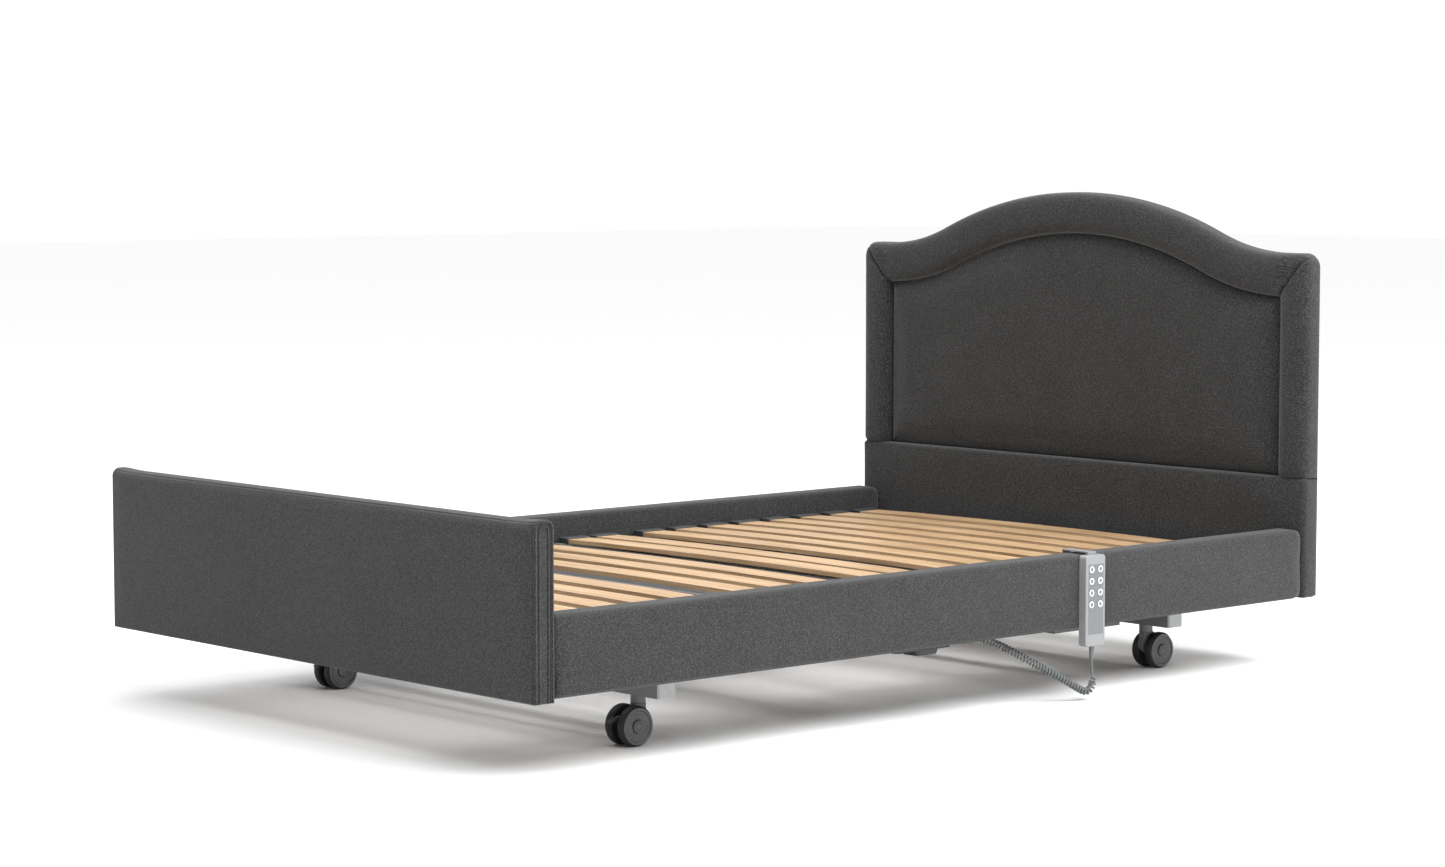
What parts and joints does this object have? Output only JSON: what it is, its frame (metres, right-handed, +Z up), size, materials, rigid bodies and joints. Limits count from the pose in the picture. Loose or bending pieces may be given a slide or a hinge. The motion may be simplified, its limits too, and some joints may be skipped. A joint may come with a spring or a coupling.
{
  "type": "adjustable bed base",
  "caption": "Upholstered adjustable bed base: arched headboard, footboard and side rails, slatted profiling sections, scissor lift on braked castors, and a corded handset.",
  "frame": {"origin": "on the floor, at the middle of the bed's length and width", "axes": "+X towards the side that carries the handset, +Y towards the head end, +Z up"},
  "size_m": [1.3379, 2.11, 0.9849],
  "materials": {
    "charcoal_fabric": "woven melange upholstery",
    "lining_fabric": "stapled dust lining",
    "grey_steel": "grey powder coat",
    "light_caps": "light grey moulding",
    "beech": "lacquered laminated slat",
    "motor_plastic": "black moulding",
    "rod_steel": "bright steel",
    "castor_grey": "grey moulding",
    "castor_pedal": "black moulding",
    "castor_tyre": "dark tread and disc",
    "handset_plastic": "light grey moulding",
    "keypad": "mid grey membrane",
    "button_white": "pale rubber key",
    "cord_rubber": "grey green jacket"
  },
  "bodies": {
    "base": {"base_frame": "grey_steel", "base_end_caps": "light_caps"},
    "deck": {"deck_chassis": "grey_steel", "board_brackets": "grey_steel", "seat_frame": "grey_steel", "seat_slats": "beech", "side_rail_left": "charcoal_fabric", "side_rail_right": "charcoal_fabric", "footboard": "charcoal_fabric", "headboard_panel": "lining_fabric", "headboard_border": "charcoal_fabric", "headboard_centre_pad": "charcoal_fabric", "headboard_lower_pad": "charcoal_fabric", "control_box": "motor_plastic", "cord_plug": "cord_rubber", "cord_coil": "cord_rubber", "cord_lead": "cord_rubber", "strain_relief": "cord_rubber", "handset_back": "handset_plastic", "handset_front": "handset_plastic", "handset_keypad": "keypad"},
    "arms_outer": {"scissor_arms_outer": "grey_steel"},
    "arms_inner": {"scissor_arms_inner": "grey_steel"},
    "backrest": {"backrest_frame": "grey_steel", "backrest_slats": "beech"},
    "thigh": {"thigh_frame": "grey_steel", "thigh_slats": "beech"},
    "calf": {"calf_frame": "grey_steel", "calf_slats": "beech"},
    "back_motor": {"back_actuator_housing": "motor_plastic"},
    "back_rod": {"back_actuator_rod": "rod_steel"},
    "leg_motor": {"leg_actuator_housing": "motor_plastic"},
    "leg_rod": {"leg_actuator_rod": "rod_steel"},
    "lift_motor": {"lift_actuator_housing": "motor_plastic"},
    "lift_rod": {"lift_actuator_rod": "rod_steel"},
    "castor_foot_left": {"castor_fork_foot_left": "castor_grey"},
    "wheel_left_foot_left": {"castor_wheel_left_foot_left": "castor_tyre"},
    "wheel_right_foot_left": {"castor_wheel_right_foot_left": "castor_tyre"},
    "pedal_foot_left": {"castor_pedal_foot_left": "castor_pedal"},
    "castor_foot_right": {"castor_fork_foot_right": "castor_grey"},
    "wheel_left_foot_right": {"castor_wheel_left_foot_right": "castor_tyre"},
    "wheel_right_foot_right": {"castor_wheel_right_foot_right": "castor_tyre"},
    "pedal_foot_right": {"castor_pedal_foot_right": "castor_pedal"},
    "castor_head_left": {"castor_fork_head_left": "castor_grey"},
    "wheel_left_head_left": {"castor_wheel_left_head_left": "castor_tyre"},
    "wheel_right_head_left": {"castor_wheel_right_head_left": "castor_tyre"},
    "pedal_head_left": {"castor_pedal_head_left": "castor_pedal"},
    "castor_head_right": {"castor_fork_head_right": "castor_grey"},
    "wheel_left_head_right": {"castor_wheel_left_head_right": "castor_tyre"},
    "wheel_right_head_right": {"castor_wheel_right_head_right": "castor_tyre"},
    "pedal_head_right": {"castor_pedal_head_right": "castor_pedal"},
    "button_head_up": {"button_head_up": "button_white"},
    "button_head_down": {"button_head_down": "button_white"},
    "button_leg_up": {"button_leg_up": "button_white"},
    "button_leg_down": {"button_leg_down": "button_white"},
    "button_bed_up": {"button_bed_up": "button_white"},
    "button_bed_down": {"button_bed_down": "button_white"},
    "button_flat": {"button_flat": "button_white"},
    "button_lounge": {"button_lounge": "button_white"}
  },
  "joints": [
    {"name": "deck_lift", "type": "slide", "parent": "base", "child": "deck", "axis": [0, 0, 1], "range_m": [0, 0.4]},
    {"name": "arms_outer_tilt", "type": "hinge", "parent": "base", "child": "arms_outer", "pos_m": [0, -0.56, 0.113], "axis": [1, 0, 0], "range_deg": [-0.1, 20]},
    {"name": "arms_inner_cross", "type": "hinge", "parent": "arms_outer", "child": "arms_inner", "pos_m": [0, 0.03925, 0.143], "axis": [-1, 0, 0], "range_deg": [-0.2, 40]},
    {"name": "backrest_tilt", "type": "hinge", "parent": "deck", "child": "backrest", "pos_m": [0, 0.197, 0.2175], "axis": [1, 0, 0], "range_deg": [0, 70]},
    {"name": "thigh_lift", "type": "hinge", "parent": "deck", "child": "thigh", "pos_m": [0, -0.013, 0.2175], "axis": [-1, 0, 0], "range_deg": [0, 35]},
    {"name": "calf_fold", "type": "hinge", "parent": "thigh", "child": "calf", "pos_m": [0, -0.373, 0.2175], "axis": [1, 0, 0], "range_deg": [0, 54.7]},
    {"name": "back_motor_pivot", "type": "hinge", "parent": "deck", "child": "back_motor", "pos_m": [0.09, -0.173, 0.15322], "axis": [1, 0, 0], "range_deg": [-1, 3]},
    {"name": "back_rod_stroke", "type": "slide", "parent": "back_motor", "child": "back_rod", "axis": [0, 0.9999, -0.0152], "range_m": [0, 0.1]},
    {"name": "leg_motor_pivot", "type": "hinge", "parent": "deck", "child": "leg_motor", "pos_m": [-0.09, 0.35081, 0.14999], "axis": [1, 0, 0], "range_deg": [-1, 3]},
    {"name": "leg_rod_stroke", "type": "slide", "parent": "leg_motor", "child": "leg_rod", "axis": [0, -0.9999, -0.0152], "range_m": [0, 0.06]},
    {"name": "lift_motor_pivot", "type": "hinge", "parent": "deck", "child": "lift_motor", "pos_m": [0, -0.13, 0.154], "axis": [1, 0, 0], "range_deg": [-1, 6]},
    {"name": "lift_rod_stroke", "type": "slide", "parent": "lift_motor", "child": "lift_rod", "axis": [0, -0.9886, -0.1505], "range_m": [0, 0.05]},
    {"name": "castor_swivel_foot_left", "type": "hinge", "parent": "base", "child": "castor_foot_left", "pos_m": [-0.454, -0.646, 0.08], "axis": [0, 0, 1], "continuous": true},
    {"name": "wheel_spin_left_foot_left", "type": "hinge", "parent": "castor_foot_left", "child": "wheel_left_foot_left", "pos_m": [-0.454, -0.668, 0.0375], "axis": [1, 0, 0], "continuous": true},
    {"name": "wheel_spin_right_foot_left", "type": "hinge", "parent": "castor_foot_left", "child": "wheel_right_foot_left", "pos_m": [-0.454, -0.668, 0.0375], "axis": [1, 0, 0], "continuous": true},
    {"name": "brake_foot_left", "type": "hinge", "parent": "castor_foot_left", "child": "pedal_foot_left", "pos_m": [-0.454, -0.692, 0.0515], "axis": [1, 0, 0], "range_deg": [0, 14]},
    {"name": "castor_swivel_foot_right", "type": "hinge", "parent": "base", "child": "castor_foot_right", "pos_m": [0.454, -0.646, 0.08], "axis": [0, 0, 1], "continuous": true},
    {"name": "wheel_spin_left_foot_right", "type": "hinge", "parent": "castor_foot_right", "child": "wheel_left_foot_right", "pos_m": [0.454, -0.668, 0.0375], "axis": [1, 0, 0], "continuous": true},
    {"name": "wheel_spin_right_foot_right", "type": "hinge", "parent": "castor_foot_right", "child": "wheel_right_foot_right", "pos_m": [0.454, -0.668, 0.0375], "axis": [1, 0, 0], "continuous": true},
    {"name": "brake_foot_right", "type": "hinge", "parent": "castor_foot_right", "child": "pedal_foot_right", "pos_m": [0.454, -0.692, 0.0515], "axis": [1, 0, 0], "range_deg": [0, 14]},
    {"name": "castor_swivel_head_left", "type": "hinge", "parent": "base", "child": "castor_head_left", "pos_m": [-0.454, 0.7495, 0.08], "axis": [0, 0, 1], "continuous": true},
    {"name": "wheel_spin_left_head_left", "type": "hinge", "parent": "castor_head_left", "child": "wheel_left_head_left", "pos_m": [-0.454, 0.7715, 0.0375], "axis": [1, 0, 0], "continuous": true},
    {"name": "wheel_spin_right_head_left", "type": "hinge", "parent": "castor_head_left", "child": "wheel_right_head_left", "pos_m": [-0.454, 0.7715, 0.0375], "axis": [1, 0, 0], "continuous": true},
    {"name": "brake_head_left", "type": "hinge", "parent": "castor_head_left", "child": "pedal_head_left", "pos_m": [-0.454, 0.7955, 0.0515], "axis": [-1, 0, 0], "range_deg": [0, 14]},
    {"name": "castor_swivel_head_right", "type": "hinge", "parent": "base", "child": "castor_head_right", "pos_m": [0.454, 0.7495, 0.08], "axis": [0, 0, 1], "continuous": true},
    {"name": "wheel_spin_left_head_right", "type": "hinge", "parent": "castor_head_right", "child": "wheel_left_head_right", "pos_m": [0.454, 0.7715, 0.0375], "axis": [1, 0, 0], "continuous": true},
    {"name": "wheel_spin_right_head_right", "type": "hinge", "parent": "castor_head_right", "child": "wheel_right_head_right", "pos_m": [0.454, 0.7715, 0.0375], "axis": [1, 0, 0], "continuous": true},
    {"name": "brake_head_right", "type": "hinge", "parent": "castor_head_right", "child": "pedal_head_right", "pos_m": [0.454, 0.7955, 0.0515], "axis": [-1, 0, 0], "range_deg": [0, 14]},
    {"name": "press_head_up", "type": "slide", "parent": "deck", "child": "button_head_up", "axis": [-1, 0, 0], "range_m": [0, 0.001], "stiffness_N_per_m": 600, "springref_m": -0.0004},
    {"name": "press_head_down", "type": "slide", "parent": "deck", "child": "button_head_down", "axis": [-1, 0, 0], "range_m": [0, 0.001], "stiffness_N_per_m": 600, "springref_m": -0.0004},
    {"name": "press_leg_up", "type": "slide", "parent": "deck", "child": "button_leg_up", "axis": [-1, 0, 0], "range_m": [0, 0.001], "stiffness_N_per_m": 600, "springref_m": -0.0004},
    {"name": "press_leg_down", "type": "slide", "parent": "deck", "child": "button_leg_down", "axis": [-1, 0, 0], "range_m": [0, 0.001], "stiffness_N_per_m": 600, "springref_m": -0.0004},
    {"name": "press_bed_up", "type": "slide", "parent": "deck", "child": "button_bed_up", "axis": [-1, 0, 0], "range_m": [0, 0.001], "stiffness_N_per_m": 600, "springref_m": -0.0004},
    {"name": "press_bed_down", "type": "slide", "parent": "deck", "child": "button_bed_down", "axis": [-1, 0, 0], "range_m": [0, 0.001], "stiffness_N_per_m": 600, "springref_m": -0.0004},
    {"name": "press_flat", "type": "slide", "parent": "deck", "child": "button_flat", "axis": [-1, 0, 0], "range_m": [0, 0.001], "stiffness_N_per_m": 600, "springref_m": -0.0004},
    {"name": "press_lounge", "type": "slide", "parent": "deck", "child": "button_lounge", "axis": [-1, 0, 0], "range_m": [0, 0.001], "stiffness_N_per_m": 600, "springref_m": -0.0004}
  ],
  "couplings": [
    {"joint": "arms_outer_tilt", "follows": "deck_lift", "rad_per_m": 0.85845},
    {"joint": "arms_inner_cross", "follows": "deck_lift", "rad_per_m": 1.7169},
    {"joint": "calf_fold", "follows": "thigh_lift", "ratio": 1.56},
    {"joint": "back_motor_pivot", "follows": "backrest_tilt", "ratio": 0.018224},
    {"joint": "back_rod_stroke", "follows": "backrest_tilt", "m_per_rad": 0.075143},
    {"joint": "leg_motor_pivot", "follows": "thigh_lift", "ratio": 0.024073},
    {"joint": "leg_rod_stroke", "follows": "thigh_lift", "m_per_rad": 0.078302},
    {"joint": "lift_motor_pivot", "follows": "deck_lift", "rad_per_m": 0.15577},
    {"joint": "lift_rod_stroke", "follows": "deck_lift", "ratio": 0.084258}
  ]
}
